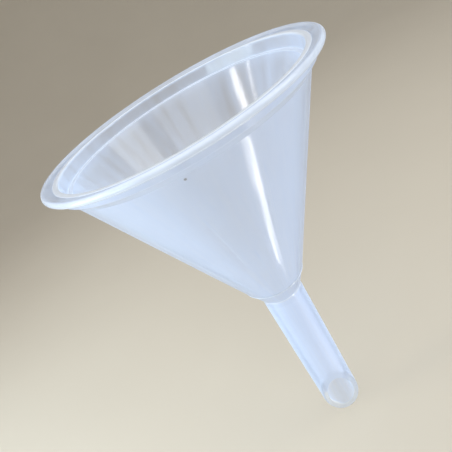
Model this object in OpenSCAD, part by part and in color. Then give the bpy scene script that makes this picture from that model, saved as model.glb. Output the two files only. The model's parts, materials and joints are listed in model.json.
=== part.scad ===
// Translucent laboratory funnel, millimetres.
// It stands mouth up on the Z axis. The origin is on the axis, at the shoulder
// where the neck runs into the stem, so the stem hangs below zero.
// The funnel is one moulding: each module is one zone of its wall, and the
// zones meet face to face.

/* [Rim] */
// Outer diameter of the rim
rim_d = 73.2; // [73:0.2:90]
// Thickness of the flat flange
rim_t = 0.9; // [0.9:0.1:1.2]
// Thickness of the bead along the flange's outer edge
bead_t = 1.5; // [1:0.1:1.6]
// Width of the bead, measured across the rim
bead_w = 1.5; // [1.5:0.1:1.9]
// Height of the bead's top above the mouth's edge
bead_lift = 0.55; // [0.3:0.05:0.6]
// Height of the mouth's edge above the shoulder
mouth_h = 60.3; // [50:0.1:80]

/* [Collar] */
// Inner diameter of the mouth
mouth_d = 64.4; // [60:0.2:65]
// Radius that rounds the mouth's inner edge
mouth_round = 0.6; // [0.2:0.1:1]
// Thickness of the collar's wall
collar_t = 1.9; // [1.4:0.1:2]
// Depth from the mouth down to the ledge inside the collar
ledge_depth = 3.4; // [2.6:0.1:4]
// Width of the ledge
ledge_w = 1.1; // [0.5:0.1:1.2]
// Depth from the mouth down to the collar's lower edge
collar_depth = 4.5; // [4.2:0.1:6]
// Where the chamfer under the collar ends, as a share of the way from the ledge up to the mouth
chamfer_share = 0.2; // [0.15:0.05:0.5]

/* [Cone] */
// Thickness of the cone's wall, measured square to its face
wall = 1.3; // [1:0.05:1.6]
// Outer diameter at the cone's lower end
cone_low_d = 17.9; // [16:0.1:20]

/* [Neck and stem] */
// Height of the short ring between the cone and the stem
neck_h = 5.3; // [3:0.1:8]
// Outer diameter of the stem
stem_d = 12.5; // [11:0.5:14]
// Diameter of the bore through the stem
bore_d = 9; // [6:0.5:9]
// Length of the stem, from the shoulder to the end of its tip
stem_l = 69; // [50:1:100]
// How much the tip's radius tapers, so that the moulding draws out of its mould
tip_taper = 0.1; // [0.05:0.05:0.3]
// Angle between the slanted cut at the tip and the stem's axis
cut_angle = 20; // [20:1:60]
// Direction that the slanted cut faces, as an angle about the axis
cut_turn = 270; // [0:5:355]

/* [Hidden] */
$fn = 96;

milky = [0.78, 0.83, 0.93, 0.6];
milky_thick = [0.88, 0.91, 0.97, 0.8];

// Radii of the rim and the collar
rim_r = rim_d / 2;
bead_r = bead_t / 2;
bead_in_r = rim_r - bead_w;
mouth_r = mouth_d / 2;
collar_out_r = mouth_r + collar_t;
ledge_r = mouth_r - ledge_w;

// Heights of the rim's edges and of the planes that part the zones
mouth_z = mouth_h;
bead_top_z = mouth_z + bead_lift;
flange_low_z = mouth_z - rim_t;
ledge_z = mouth_z - ledge_depth;
chamfer_top_z = ledge_z + chamfer_share * ledge_depth;
collar_low_z = mouth_z - collar_depth;

// The cone's inside runs from the ledge's inner edge to the neck. A slanted
// wall measured level is thicker than it is square to its face.
cone_low_r = cone_low_d / 2;
cone_slope = (ledge_r + wall - cone_low_r) / (ledge_z - neck_h);
level_wall = wall * sqrt(1 + pow(cone_slope, 2));
function cone_in(z) = ledge_r - cone_slope * (ledge_z - z);
function cone_out(z) = cone_in(z) + level_wall;

// The chamfer outside the ledge leads from the cone out to the collar's wall
chamfer_slope = (collar_out_r - cone_out(collar_low_z)) / (chamfer_top_z - collar_low_z);
function chamfer_out(z) = cone_out(collar_low_z) + chamfer_slope * (z - collar_low_z);

// The slanted cut climbs this far across the stem's width
stem_r = stem_d / 2;
bore_r = bore_d / 2;
cut_rise = stem_d / tan(cut_angle);
tip_top_z = cut_rise - stem_l;

// The bead that stiffens the flange's outer edge, round outside and with a flat top
module rim_bead() {
    color(milky_thick)
        rotate_extrude()
            union() {
                translate([rim_r - bead_r, bead_top_z - bead_r])
                    circle(r = bead_r);
                translate([bead_in_r + bead_lift, mouth_z])
                    circle(r = bead_lift);
                polygon([
                    [bead_in_r, flange_low_z],
                    [rim_r - bead_r, bead_top_z - bead_t],
                    [rim_r - bead_r, bead_top_z],
                    [bead_in_r + bead_lift, bead_top_z],
                    [bead_in_r + bead_lift, mouth_z],
                    [bead_in_r, mouth_z]
                ]);
            }
}

// The flat flange between the bead and the collar
module rim_flange() {
    color(milky)
        rotate_extrude()
            translate([collar_out_r, flange_low_z])
                square([bead_in_r - collar_out_r, rim_t]);
}

// The short wall inside the rim, with a rounded inner edge and a chamfered foot
module collar() {
    color(milky_thick)
        rotate_extrude()
            union() {
                polygon([
                    [mouth_r, ledge_z],
                    [chamfer_out(ledge_z), ledge_z],
                    [collar_out_r, chamfer_top_z],
                    [collar_out_r, mouth_z],
                    [mouth_r + mouth_round, mouth_z],
                    [mouth_r + mouth_round, mouth_z - mouth_round],
                    [mouth_r, mouth_z - mouth_round]
                ]);
                translate([mouth_r + mouth_round, mouth_z - mouth_round])
                    intersection() {
                        circle(r = mouth_round);
                        translate([-mouth_round, 0])
                            square([mouth_round, mouth_round]);
                    }
            }
}

// The ledge where the collar steps in to the cone, chamfered on the outside
module collar_ledge() {
    color(milky_thick)
        rotate_extrude()
            polygon([
                [cone_in(collar_low_z), collar_low_z],
                [cone_out(collar_low_z), collar_low_z],
                [chamfer_out(ledge_z), ledge_z],
                [ledge_r, ledge_z]
            ]);
}

// The conical wall
module cone() {
    color(milky)
        rotate_extrude()
            polygon([
                [cone_in(neck_h), neck_h],
                [cone_out(neck_h), neck_h],
                [cone_out(collar_low_z), collar_low_z],
                [cone_in(collar_low_z), collar_low_z]
            ]);
}

// The short ring that gathers the cone into the stem
module neck() {
    color(milky_thick)
        rotate_extrude()
            polygon([
                [bore_r, 0],
                [stem_r, 0],
                [cone_out(neck_h), neck_h],
                [cone_in(neck_h), neck_h]
            ]);
}

// A length of the stem's wall between two heights, narrower by taper at its foot
module tube(low_z, high_z, taper) {
    rotate_extrude()
        polygon([
            [bore_r - taper, low_z],
            [stem_r - taper, low_z],
            [stem_r, high_z],
            [bore_r, high_z]
        ]);
}

// The round length of the stem
module stem() {
    color(milky)
        tube(tip_top_z, 0, 0);
}

// The stem's end, which tapers a little and is cut off on a slant
module stem_tip() {
    color(milky)
        difference() {
            tube(-stem_l, tip_top_z, tip_taper);
            rotate([0, 0, cut_turn])
                translate([-stem_r, 0, -stem_l])
                    rotate([0, -(90 - cut_angle), 0])
                        translate([-stem_l, -stem_d, -2 * stem_l])
                            cube([3 * stem_l, 2 * stem_d, 2 * stem_l]);
        }
}

rim_bead();
rim_flange();
collar();
collar_ledge();
cone();
neck();
stem();
stem_tip();
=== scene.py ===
"""A milky translucent plastic funnel, mouth up, held over a plain pale floor."""

import json
import math

import bmesh
import bpy
from mathutils import Matrix, Quaternion, Vector, noise


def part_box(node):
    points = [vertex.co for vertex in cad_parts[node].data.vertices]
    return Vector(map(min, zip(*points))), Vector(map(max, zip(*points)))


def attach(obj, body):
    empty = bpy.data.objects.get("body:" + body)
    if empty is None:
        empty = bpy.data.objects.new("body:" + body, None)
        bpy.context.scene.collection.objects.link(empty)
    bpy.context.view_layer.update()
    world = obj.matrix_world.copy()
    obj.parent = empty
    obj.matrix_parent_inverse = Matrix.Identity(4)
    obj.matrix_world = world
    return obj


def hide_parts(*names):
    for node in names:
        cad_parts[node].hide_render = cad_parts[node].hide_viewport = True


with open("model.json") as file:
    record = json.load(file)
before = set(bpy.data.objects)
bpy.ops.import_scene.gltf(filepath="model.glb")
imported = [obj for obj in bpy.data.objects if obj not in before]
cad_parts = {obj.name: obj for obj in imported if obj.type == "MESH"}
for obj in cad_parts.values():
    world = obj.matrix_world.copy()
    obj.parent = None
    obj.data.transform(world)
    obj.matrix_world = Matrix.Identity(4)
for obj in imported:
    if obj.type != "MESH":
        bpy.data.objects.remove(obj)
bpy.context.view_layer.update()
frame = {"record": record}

MM = 0.001
TURN = 2 * math.pi


# ---------------------------------------------------------------- sizes

def mount(name):
    """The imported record's mount of that name."""
    return next(m for m in frame["record"]["mounts"] if m["name"] == name)


def reach(node):
    """A round node's largest radius, lowest height and highest height."""
    low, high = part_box(node)
    return high.x, low.z, high.z


rim_r, _, bead_top_z = reach("rim_bead")
flange_r, flange_low_z, _ = reach("rim_flange")
collar_r, ledge_z, mouth_z = reach("collar")
ledge_out_r, collar_low_z, _ = reach("collar_ledge")
cone_top_r, neck_z, _ = reach("cone")
cone_low_r, _, _ = reach("neck")
stem_r, tip_top_z, _ = reach("stem")
_, tip_z, _ = reach("stem_tip")
mouth_r = mount("collar_seat")["dims"]["r_mm"] * MM
bore_r = mount("stem_bore")["dims"]["r_mm"] * MM

bead_r = 0.75 * MM
wall = 1.3 * MM
tip_taper = 0.1 * MM
cone_slope = (cone_top_r - cone_low_r) / (collar_low_z - neck_z)
level_wall = wall * math.hypot(1, cone_slope)
ledge_r = cone_top_r + cone_slope * (ledge_z - collar_low_z) - level_wall
chamfer_slope = (ledge_out_r - cone_top_r) / (ledge_z - collar_low_z)
chamfer_top_z = collar_low_z + (collar_r - cone_top_r) / chamfer_slope
cut_climb = (tip_top_z - tip_z) / (2 * stem_r - tip_taper)
CUT_FACES = Vector((0, -1))


# ---------------------------------------------------------------- outline

ARC_STEPS = 5
LONGEST_STEP = 2.4 * MM
EDGE_STEP = 0.25 * MM
SEGMENTS = 360


def arc(centre, radius, start, end, steps):
    """Points on an arc between two angles in degrees, both ends included."""
    turns = [math.radians(start + (end - start) * i / steps) for i in range(steps + 1)]
    return [centre + radius * Vector((math.cos(a), math.sin(a))) for a in turns]


def rounded(before, corner, after, radius):
    """Points that round one corner of the outline."""
    back, ahead = (before - corner).normalized(), (after - corner).normalized()
    half = back.angle(ahead) / 2
    centre = corner + (back + ahead).normalized() * radius / math.sin(half)
    first = corner + back * radius / math.tan(half) - centre
    last = corner + ahead * radius / math.tan(half) - centre
    sweep = math.atan2(first.x * last.y - first.y * last.x, first.dot(last))
    turns = [Matrix.Rotation(sweep * i / ARC_STEPS, 2) for i in range(ARC_STEPS + 1)]
    return [centre + turn @ first for turn in turns]


def with_round_corners(corners):
    """An outline from (radius, height, rounding) corners; rounding 0 keeps the corner."""
    places = [Vector(c[:2]) for c in corners]
    out = [places[0]]
    for i in range(1, len(corners) - 1):
        radius = corners[i][2]
        if radius:
            out += rounded(places[i - 1], places[i], places[i + 1], radius)
        else:
            out.append(places[i])
    return out + [places[-1]]


def with_even_steps(outline):
    """The outline with its long straight stretches divided, and a short step at each end of them."""
    out = [outline[0]]
    for a, b in zip(outline, outline[1:]):
        length = (b - a).length
        if length > 4 * EDGE_STEP:
            count = max(1, math.ceil((length - 2 * EDGE_STEP) / LONGEST_STEP))
            inner = [EDGE_STEP + (length - 2 * EDGE_STEP) * i / count for i in range(count + 1)]
            out += [a.lerp(b, s / length) for s in inner]
        out.append(b)
    return out


def cone_in(z):
    """The cone's inner radius at a height."""
    return cone_low_r + cone_slope * (z - neck_z) - level_wall


# The flange starts a little below the mouth's edge and rises to the bead's top
flange_dip = 0.1 * MM
rise_r = flange_r + 0.45 * MM
# The straight stem ends this far above the slanted cut
above_cut = 1.0 * MM

# The mouth's bright edge ends at this radius, over a short slope
band_r = mouth_r + 1.4 * MM
band_slope = 0.1 * MM
# The collar's wall spreads out a little under the flange, and narrows a little down to the ledge
spread_r = collar_r + 0.5 * MM
collar_foot_r = mouth_r - 0.5 * MM
ledge_edge_r = ledge_r - 0.4 * MM
# The rings at the neck's two ends stand this proud of the wall
ring_proud = 0.28 * MM

bead_centre = Vector((rim_r - bead_r, bead_top_z - bead_r))
bead_foot_z = bead_top_z - 2 * bead_r

inside = with_round_corners([
    (bore_r, tip_top_z + above_cut, 0),
    (bore_r, 0, 4 * MM),
    (cone_in(neck_z), neck_z, 6 * MM),
    (ledge_edge_r, ledge_z, 0.3 * MM),
    (collar_foot_r, ledge_z, 0.3 * MM),
    (mouth_r, mouth_z, 0.6 * MM),
    (band_r - band_slope, mouth_z, 0.2 * MM),
    (band_r + band_slope, mouth_z - flange_dip, 0.2 * MM),
    (rise_r, bead_top_z, 0.6 * MM),
    (bead_centre.x, bead_top_z, 0),
])
bead = arc(bead_centre, bead_r, 90, -80, 12)[1:]
outside = with_round_corners([
    (bead[-1].x, bead[-1].y, 0),
    (bead_centre.x - bead_r, bead_foot_z + 0.1 * MM, 0.3 * MM),
    (spread_r, flange_low_z, 0.3 * MM),
    (collar_r, chamfer_top_z, 0.5 * MM),
    (cone_top_r, collar_low_z, 0.5 * MM),
    (cone_low_r + ring_proud, neck_z + 0.50 * MM, 0.1 * MM),
    (cone_low_r + ring_proud, neck_z + 0.10 * MM, 0.15 * MM),
    (cone_low_r + 0.05 * MM, neck_z - 0.15 * MM, 0.1 * MM),
    (cone_low_r - 0.20 * MM, neck_z - 0.30 * MM, 0.1 * MM),
    (stem_r + ring_proud, 0.50 * MM, 0.1 * MM),
    (stem_r + 0.20 * MM, 0.05 * MM, 0.15 * MM),
    (stem_r, -0.15 * MM, 0.1 * MM),
    (stem_r, tip_top_z + above_cut, 0),
])[1:]
outline = with_even_steps(inside + bead + outside)


# ---------------------------------------------------------------- moulding

# Each step across the cut: share of the wall crossed, then millimetres in and up
CUT_STEPS = [
    (0, 0, 0.6), (0, -0.05, 0.3), (0, -0.13, 0.1), (0, -0.25, 0), (0.3, 0, 0), (0.45, 0, 0),
    (0.6, 0, 0), (0.8, 0, 0), (1, 0.1, 0), (1, 0.03, 0.06), (1, 0, 0.2),
]
TIP_ROWS = 14
# The tip's own wall starts this far above the cut, and the cut's first steps fill the rest
CUT_MARGIN = 0.9 * MM

# The soft moulding's rim leans by this much at its edge, and sits this far to one side
RIM_LEAN = 0.42 * MM
RIM_SHIFT = 0.30 * MM

# Weld lines run down the cone at these angles about the axis, in degrees
WELD_LINES = (-84, -74, 31, 152)
WELD_WIDTH = 1.5

# How much milkier each zone is than the average wall; below zero is clearer. The band, neck and cut
# values are partly milkier plastic and partly painted edge glow.
FLANGE_MILK, INNER_MILK, OUTER_MILK, BAND_MILK_AND_GLOW = -0.28, -0.5, 0.2, 1.15
STEM_MILK, BORE_MILK, CUT_MILK_AND_GLOW, NECK_MILK_AND_GLOW = 0.45, 0.0, 1.1, 1.3

# Milky lines that the flow left down the cone: angle about the axis in degrees, foot and top in mm
FLOW_LINES = [
    (-92, 13, 29), (-59, 7, 22), (-71, 9, 50), (-78, 7, 16), (-104, 20, 46), (24, 9, 40), (141, 12, 47),
]


def share(value, start, end):
    """How far a value has gone from start to end, from 0 to 1."""
    return min(1, max(0, (value - start) / (end - start)))


def line(value, place, core, fade):
    """1 within the core of a line at a place, falling to 0 over the fade."""
    return 1 - share(abs(value - place), core, core + fade)


def cut_height(radius, direction):
    """The height of the slanted cut, at a radius in a direction about the axis."""
    return tip_top_z + cut_climb * (radius * direction.dot(CUT_FACES) - stem_r)


def tip_column(direction, radius, rows):
    """The stem's wall from the round stem down to the cut, in one direction."""
    top = tip_top_z + above_cut
    foot = cut_height(radius, direction) + CUT_MARGIN
    column = []
    for i in range(1, rows + 1):
        z = top + (foot - top) * i / rows
        narrower = tip_taper * max(0, tip_top_z - z) / (tip_top_z - tip_z)
        column.append((radius - narrower, z))
    return column


def cut_column(direction):
    """The wall's end along the cut, from its outer edge to the bore, with eased edges and saw marks."""
    outer, inner = stem_r - tip_taper / 2, bore_r - tip_taper / 2
    column = []
    for crossed, in_mm, up_mm in CUT_STEPS:
        radius = outer + (inner - outer) * crossed + in_mm * MM
        saw = 0.05 * MM * noise.noise(Vector((direction.x * 9, direction.y * 9, crossed * 3)))
        chatter = 0.03 * MM * math.sin(direction.x * 60) * math.sin(math.pi * crossed)
        z = cut_height(radius, direction) + up_mm * MM + (saw + chatter) / cut_climb * 3
        column.append((radius, max(z, tip_z + 0.1 * MM)))
    return column


def swell(direction, radius, z):
    """The radius with the wall's slight unevenness and faint weld lines, which fade towards the rim."""
    fade = min(1, max(0, (mouth_z - z) / (8 * MM)))
    along = z / MM
    slow = noise.noise(Vector((direction.x * 1.6, direction.y * 1.6, along * 0.03)))
    quick = noise.noise(Vector((direction.x * 6, direction.y * 6, along * 0.02 + 7)))
    weld = 0
    if z > neck_z:
        turn = math.degrees(math.atan2(direction.y, direction.x))
        weld = sum(max(0, 1 - abs(turn - place) / WELD_WIDTH) for place in WELD_LINES)
    return radius + MM * fade * (0.10 * slow + 0.012 * quick + 0.03 * weld)


def settled(x, y, z):
    """A point after the soft moulding's slight set: its rim leans and sits a little to one side."""
    set_share = share(z, neck_z, mouth_z) ** 2
    return x + RIM_SHIFT * set_share, y, z + RIM_LEAN * set_share * x / rim_r


def milk_and_painted_glow(radius, z, above_cut_face):
    """How milky the wall is at a radius and height, in the terms of the numbers above. The lines at the
    rim's edge, the band, the ledge, the neck rings and the cut face are partly milkier plastic and
    partly painted edge glow.
    """
    rim = share(radius, rim_r - 0.9 * MM, rim_r - 0.4 * MM)
    on_top = share(z, mouth_z - 0.6 * MM, mouth_z - 0.1 * MM)
    if z > mouth_z - 0.5 * MM and radius > band_r:
        return max(rim, FLANGE_MILK + (BAND_MILK_AND_GLOW - FLANGE_MILK) * line(radius, band_r, 0, 0.25 * MM))
    if z < 0.5 * MM:
        outside = share(radius, bore_r + 0.3 * MM, stem_r - 0.5 * MM)
        stem = BORE_MILK + (STEM_MILK - BORE_MILK) * outside
        shoulder = line(z, 0.1 * MM, 0.2 * MM, 0.25 * MM) * outside
        cut_milk_and_glow = STEM_MILK + (CUT_MILK_AND_GLOW - STEM_MILK) * share(z, tip_top_z - 6 * MM, tip_top_z - 24 * MM)
        return max(stem, NECK_MILK_AND_GLOW * shoulder, cut_milk_and_glow * line(above_cut_face, 0, 0.2 * MM, 0.4 * MM))
    ledge = 0.8 * line(z, ledge_z, 0.15 * MM, 0.4 * MM)
    middle = min(cone_in(z) + level_wall / 2, (mouth_r + collar_r) / 2)
    base = INNER_MILK if radius < middle else OUTER_MILK
    edge = NECK_MILK_AND_GLOW * line(z, neck_z, 0.25 * MM, 0.25 * MM) * (radius > middle)
    return max(base, rim, BAND_MILK_AND_GLOW * on_top, ledge, edge)


def flow_line(radius, direction, z):
    """How milky a flow line makes the cone's outside here."""
    if not neck_z < z < collar_low_z or radius < cone_in(z) + level_wall / 2:
        return 0
    turn = math.degrees(math.atan2(direction.y, direction.x))
    found = [
        line(turn, place, 0, 0.9) * share(z / MM, low, low + 3) * share(z / MM, high, high - 6)
        for place, low, high in FLOW_LINES
    ]
    return 0.9 * max(found)


def painted_crescent_highlight(radius, direction, above_cut_face):
    """A painted crescent highlight: extra milkiness on one side of the cut, along the bore's edge."""
    turn = math.degrees(math.atan2(direction.y, direction.x)) % 360
    along = line(turn, 165, 30, 25) * line(radius, bore_r, 0.9 * MM, 0.5 * MM)
    return 2.0 * along * line(above_cut_face, 0, 0.6 * MM, 0.5 * MM)


def make_moulding():
    """The whole funnel as one closed skin, turned about the axis."""
    columns = []
    for i in range(SEGMENTS):
        turn = TURN * i / SEGMENTS
        direction = Vector((math.cos(turn), math.sin(turn)))
        down = tip_column(direction, stem_r, TIP_ROWS)
        up = tip_column(direction, bore_r, TIP_ROWS)[::-1]
        loop = [tuple(p) for p in outline] + down + cut_column(direction) + up
        column = []
        for r, z in loop:
            above_cut_face = z - cut_height(r, direction)
            # The marks here are a painted crescent highlight by the cut and the plastic's own flow lines
            marks = max(painted_crescent_highlight(r, direction, above_cut_face), flow_line(r, direction, z))
            milk_and_glow_here = max(milk_and_painted_glow(r, z, above_cut_face), marks)
            column.append((direction * swell(direction, r, z), z, milk_and_glow_here))
        columns.append(column)
    skin = bmesh.new()
    milk = skin.verts.layers.float.new("milk_and_painted_glow")
    rings = []
    for column in columns:
        rings.append([skin.verts.new(settled(place.x, place.y, z)) for place, z, _ in column])
        for vert, (_, _, amount) in zip(rings[-1], column):
            vert[milk] = amount
    rows = len(rings[0])
    for i in range(SEGMENTS):
        here, there = rings[i], rings[(i + 1) % SEGMENTS]
        for j in range(rows):
            k = (j + 1) % rows
            skin.faces.new((here[j], here[k], there[k], there[j]))
    bmesh.ops.recalc_face_normals(skin, faces=skin.faces)
    for face in skin.faces:
        face.smooth = True
    mesh = bpy.data.meshes.new("funnel_moulding")
    skin.to_mesh(mesh)
    skin.free()
    piece = bpy.data.objects.new("funnel_moulding", mesh)
    bpy.context.scene.collection.objects.link(piece)
    return piece


# ---------------------------------------------------------------- material

class Nodes:
    """A small helper that adds and joins shader nodes."""

    def __init__(self, name):
        self.material = bpy.data.materials.new(name)
        self.material.use_nodes = True
        self.tree = self.material.node_tree
        self.tree.nodes.clear()

    def add(self, kind, values=None, **settings):
        """A node, with its settings and its inputs: numbers, colours or other sockets."""
        made = self.tree.nodes.new(kind)
        for key, value in settings.items():
            setattr(made, key, value)
        for key, value in (values or {}).items():
            socket = made.inputs[key]
            if isinstance(value, bpy.types.NodeSocket):
                self.tree.links.new(value, socket)
            else:
                socket.default_value = value
        return made

    def math(self, operation, first, second=0.0, clamp=False):
        """The result of a Math node."""
        made = self.add("ShaderNodeMath", {0: first, 1: second}, operation=operation)
        made.use_clamp = clamp
        return made.outputs[0]

    def mix(self, share, first, second):
        """A Mix Shader's output."""
        return self.add("ShaderNodeMixShader", {0: share, 1: first, 2: second}).outputs[0]

    def ramp(self, value, low, high, to_low, to_high):
        """A Map Range node's output, clamped."""
        return self.add("ShaderNodeMapRange", {
            "Value": value, "From Min": low, "From Max": high,
            "To Min": to_low, "To Max": to_high,
        }).outputs[0]


# Where the grain sits on the cone, in millimetres
SPECK_PLACE = (-4.75, -31.3, 54.95)


def polypropylene():
    """Milky translucent polypropylene: hazy inside, smooth and glossy outside."""
    n = Nodes("milky_polypropylene")
    place = n.add("ShaderNodeTexCoord").outputs["Object"]
    mm = n.add("ShaderNodeVectorMath", {0: place, "Scale": 1000.0}, operation="SCALE").outputs[0]
    split = n.add("ShaderNodeSeparateXYZ", {0: mm})
    level = n.add("ShaderNodeCombineXYZ", {"X": split.outputs["X"], "Y": split.outputs["Y"]})
    around = n.add("ShaderNodeVectorMath", {0: level.outputs[0]}, operation="NORMALIZE")
    along = n.math("MULTIPLY", split.outputs["Z"], 0.035)
    lift = n.add("ShaderNodeCombineXYZ", {"Z": along})
    wide = n.add("ShaderNodeVectorMath", {0: around.outputs[0], "Scale": 8.0}, operation="SCALE")
    flow_place = n.add("ShaderNodeVectorMath", {0: wide.outputs[0], 1: lift.outputs[0]}, operation="ADD")

    # Faint streaks that the plastic's flow left along the wall
    flow = n.add("ShaderNodeTexNoise", {
        "Vector": flow_place.outputs[0], "Scale": 1.0, "Detail": 4.0, "Roughness": 0.6,
    }).outputs["Fac"]
    # Broad clouds of more and less haze
    cloud = n.add("ShaderNodeTexNoise", {"Vector": mm, "Scale": 0.07, "Detail": 2.0}).outputs["Fac"]
    # Fine handling marks
    marks_place = n.add("ShaderNodeMapping", {
        "Vector": mm, "Rotation": (0.4, 0.9, 0.3), "Scale": (0.25, 4.0, 0.6),
    }).outputs[0]
    marks = n.add("ShaderNodeTexNoise", {
        "Vector": marks_place, "Scale": 1.2, "Detail": 5.0, "Roughness": 0.7,
    }).outputs["Fac"]
    grain = n.add("ShaderNodeTexNoise", {"Vector": mm, "Scale": 2.2, "Detail": 3.0}).outputs["Fac"]

    roughness = n.math("ADD", n.ramp(marks, 0.35, 0.75, 0.07, 0.16), n.ramp(grain, 0.3, 0.7, 0.0, 0.03))
    # The stem is duller than the polished bowl
    roughness = n.math("ADD", roughness, n.ramp(split.outputs["Z"], -3.0, 0.0, 0.25, 0.0))
    unevenness = n.math("ADD", n.ramp(cloud, 0.3, 0.7, -0.03, 0.04), n.ramp(flow, 0.3, 0.7, -0.10, 0.10))

    height = n.math("ADD", n.math("MULTIPLY", flow, 0.05), n.math("MULTIPLY", grain, 0.004))
    bump = n.add("ShaderNodeBump", {"Height": height, "Strength": 0.12, "Distance": MM}).outputs[0]

    # Haze grows with the milkiness attribute, which stands for the wall's thickness and also carries
    # painted edge glow and a painted crescent highlight, and with the slant at which the wall is crossed
    milk_and_glow_amount = n.add("ShaderNodeAttribute", attribute_name="milk_and_painted_glow").outputs["Fac"]
    haze = n.math("ADD", n.ramp(milk_and_glow_amount, -0.5, 1.3, 0.06, 0.95), unevenness)
    facing = n.add("ShaderNodeLayerWeight", {"Blend": 0.5}).outputs["Facing"]
    slant = n.math("DIVIDE", 1.0, n.math("SUBTRACT", 1.12, facing))
    haze = n.math("SUBTRACT", 1.0, n.math("POWER", n.math("SUBTRACT", 1.0, haze), slant), clamp=True)
    # The face that is met first hides the rest, so the skin's far face adds less haze
    inner_face = n.add("ShaderNodeNewGeometry").outputs["Backfacing"]
    haze = n.math("MULTIPLY", haze, n.ramp(inner_face, 0.0, 1.0, 1.0, 0.45))

    # One small dark grain is caught in the wall
    away = n.add("ShaderNodeVectorMath", {0: mm, 1: SPECK_PLACE}, operation="DISTANCE").outputs["Value"]
    speck = n.ramp(away, 0.22, 0.42, 0.9, 0.0)
    haze = n.math("MAXIMUM", haze, speck)
    # The milkiest edges are whiter, partly whiter plastic and partly painted edge glow, and the grain is
    # brown
    white = n.add("ShaderNodeMix", {
        "Factor": n.ramp(milk_and_glow_amount, 0.5, 1.3, 0.0, 1.0),
        "A": (0.75, 0.835, 0.995, 1), "B": (0.93, 0.96, 1.0, 1),
    }, data_type="RGBA").outputs["Result"]
    milk_colour = n.add("ShaderNodeMix", {
        "Factor": speck, "A": white, "B": (0.34, 0.32, 0.30, 1),
    }, data_type="RGBA").outputs["Result"]
    front = n.add("ShaderNodeBsdfDiffuse", {"Color": milk_colour, "Normal": bump}).outputs[0]
    through = n.add("ShaderNodeBsdfTranslucent", {"Color": milk_colour, "Normal": bump}).outputs[0]
    milk = n.mix(0.5, front, through)
    bent = n.add("ShaderNodeBsdfRefraction", {
        "Color": (0.97, 0.98, 1.0, 1), "Roughness": 0.30, "IOR": 1.15, "Normal": bump,
    }).outputs[0]
    body = n.mix(haze, bent, milk)

    # The outer face of the skin shines; its inner face would only trap light
    gloss = n.add("ShaderNodeBsdfGlossy", {"Roughness": roughness, "Normal": bump}).outputs[0]
    fresnel = n.add("ShaderNodeFresnel", {"IOR": 1.49, "Normal": bump}).outputs[0]
    shine = n.math("MULTIPLY", n.math("MINIMUM", fresnel, 0.4), n.math("SUBTRACT", 1.0, inner_face))
    shine = n.math("MULTIPLY", shine, n.ramp(split.outputs["Z"], -3.0, 0.0, 0.45, 1.0))
    body = n.mix(shine, body, gloss)
    lamps = n.add("ShaderNodeBsdfTransparent", {"Color": (0.80, 0.83, 0.88, 1)}).outputs[0]
    ray = n.add("ShaderNodeLightPath").outputs["Is Shadow Ray"]
    body = n.mix(ray, body, lamps)
    n.add("ShaderNodeOutputMaterial", {"Surface": body})
    return n.material


def floor_material():
    """A plain pale warm floor with a very faint mottle."""
    n = Nodes("plain_floor")
    place = n.add("ShaderNodeTexCoord").outputs["Object"]
    mottle = n.add("ShaderNodeTexNoise", {"Vector": place, "Scale": 9.0, "Detail": 3.0}).outputs["Fac"]
    colour = n.add("ShaderNodeMix", {
        "Factor": mottle, "A": (0.52, 0.46, 0.37, 1), "B": (0.56, 0.50, 0.405, 1),
    }, data_type="RGBA").outputs["Result"]
    surface = n.add("ShaderNodeBsdfPrincipled", {"Base Color": colour, "Roughness": 0.85}).outputs[0]
    n.add("ShaderNodeOutputMaterial", {"Surface": surface})
    return n.material


# ---------------------------------------------------------------- stage

def make_floor():
    """A round floor that curves up into a wall on all sides, so that no view has a horizon."""
    flat_r, bend_r, wall_top = 0.55, 0.60, 0.90
    floor_z = tip_z - 1.0 * MM
    profile = [Vector((flat_r * i / 4, floor_z)) for i in range(1, 5)]
    profile += arc(Vector((flat_r, floor_z + bend_r)), bend_r, -90, 0, 16)[1:]
    profile.append(Vector((flat_r + bend_r, floor_z + wall_top)))
    skin = bmesh.new()
    count = 96
    middle = skin.verts.new((0, 0, floor_z))
    rings = []
    for i in range(count):
        a = TURN * i / count
        rings.append([skin.verts.new((p.x * math.cos(a), p.x * math.sin(a), p.y)) for p in profile])
    for i in range(count):
        here, there = rings[i], rings[(i + 1) % count]
        skin.faces.new((middle, here[0], there[0]))
        for j in range(len(profile) - 1):
            skin.faces.new((here[j], here[j + 1], there[j + 1], there[j]))
    for face in skin.faces:
        face.smooth = True
    mesh = bpy.data.meshes.new("floor")
    skin.to_mesh(mesh)
    skin.free()
    floor = bpy.data.objects.new("floor", mesh)
    bpy.context.scene.collection.objects.link(floor)
    floor.data.materials.append(floor_material())


def softbox(name, azimuth, elevation, distance, size, watts, colour, target, lean=0):
    """A soft rectangular lamp in a direction about the target, facing it, leaning by an angle."""
    lamp = bpy.data.lights.new(name, "AREA")
    lamp.shape = "RECTANGLE"
    lamp.size, lamp.size_y = size
    lamp.energy = watts
    lamp.color = colour
    a, e = math.radians(azimuth), math.radians(elevation)
    away = Vector((math.cos(a) * math.cos(e), math.sin(a) * math.cos(e), math.sin(e)))
    holder = bpy.data.objects.new(name, lamp)
    holder.location = target + away * distance
    holder.rotation_mode = "QUATERNION"
    facing = (-away).to_track_quat("-Z", "Y")
    holder.rotation_quaternion = facing @ Quaternion((0, 0, 1), math.radians(lean))
    holder.visible_camera = False
    holder.visible_transmission = False
    bpy.context.scene.collection.objects.link(holder)


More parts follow.
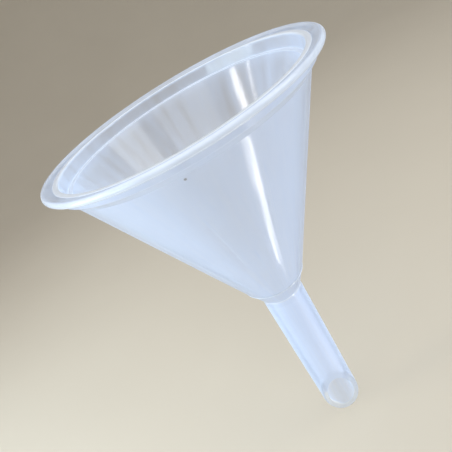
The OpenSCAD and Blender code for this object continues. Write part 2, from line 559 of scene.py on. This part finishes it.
def make_lights():
    """Soft daylight from the camera's side, windows to the left and right, and a low strip."""
    bowl = Vector((0, 0, (mouth_z + neck_z) / 2))
    daylight, blue, neutral = (0.88, 0.94, 1.0), (0.66, 0.85, 1.0), (0.99, 0.98, 0.97)
    softbox("daylight", -100, 42, 0.60, (0.60, 0.50), 1.85, daylight, bowl)
    softbox("overhead", 0, 88, 0.65, (0.70, 0.70), 1.75, neutral, bowl)
    softbox("sky_left", -162, 8, 0.32, (0.32, 0.13), 1.0, blue, bowl)
    softbox("window_left", -170, 27, 0.50, (0.052, 0.14), 0.45, neutral, bowl, lean=-30)
    softbox("window_edge", 173.5, 25, 0.50, (0.012, 0.16), 0.14, neutral, bowl)
    softbox("window_sill", 175.7, -8, 0.47, (0.010, 0.05), 0.02, neutral, bowl)
    softbox("window_right", -23, 31, 0.50, (0.32, 0.26), 1.1, daylight, bowl)
    softbox("low_strip", -48, -56, 0.0906, (0.0035, 0.058), 0.007, neutral, bowl)
    softbox("low_glow", -48, -46.6, 0.0918, (0.014, 0.024), 0.0045, neutral, bowl)
    world = bpy.data.worlds.new("soft_room")
    world.use_nodes = True
    sky = world.node_tree.nodes["Background"]
    sky.inputs["Color"].default_value = (0.92, 0.95, 1.0, 1)
    sky.inputs["Strength"].default_value = 0.50
    bpy.context.scene.world = world


def make_camera():
    """The photograph's view: from one side, a little above the rim, with the camera rolled."""
    away, above = 2.932 * rim_r, 0.601 * rim_r
    yaw, pitch, roll = math.radians(2.2), math.radians(-27.4), math.radians(-31.5)
    camera = bpy.data.objects.new("camera", bpy.data.cameras.new("camera"))
    camera.data.sensor_width = 36
    camera.data.lens = 36.1
    camera.data.clip_start = 0.01
    turned = Matrix.Rotation(yaw, 4, "Z") @ Matrix.Rotation(math.pi / 2 + pitch, 4, "X")
    turned = turned @ Matrix.Rotation(roll, 4, "Z")
    camera.matrix_world = Matrix.Translation((0, -away, mouth_z + above)) @ turned
    bpy.context.scene.collection.objects.link(camera)
    bpy.context.scene.camera = camera


# ---------------------------------------------------------------- scene

make_camera()
make_floor()
make_lights()

moulding = make_moulding()
moulding.data.materials.append(polypropylene())
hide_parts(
    "rim_bead", "rim_flange", "collar", "collar_ledge", "cone", "neck", "stem", "stem_tip",
)
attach(moulding, "root")

scene = bpy.context.scene
scene.view_settings.view_transform = "Standard"
scene.cycles.max_bounces = 16
scene.cycles.transmission_bounces = 12
scene.cycles.transparent_max_bounces = 16
scene.cycles.glossy_bounces = 6
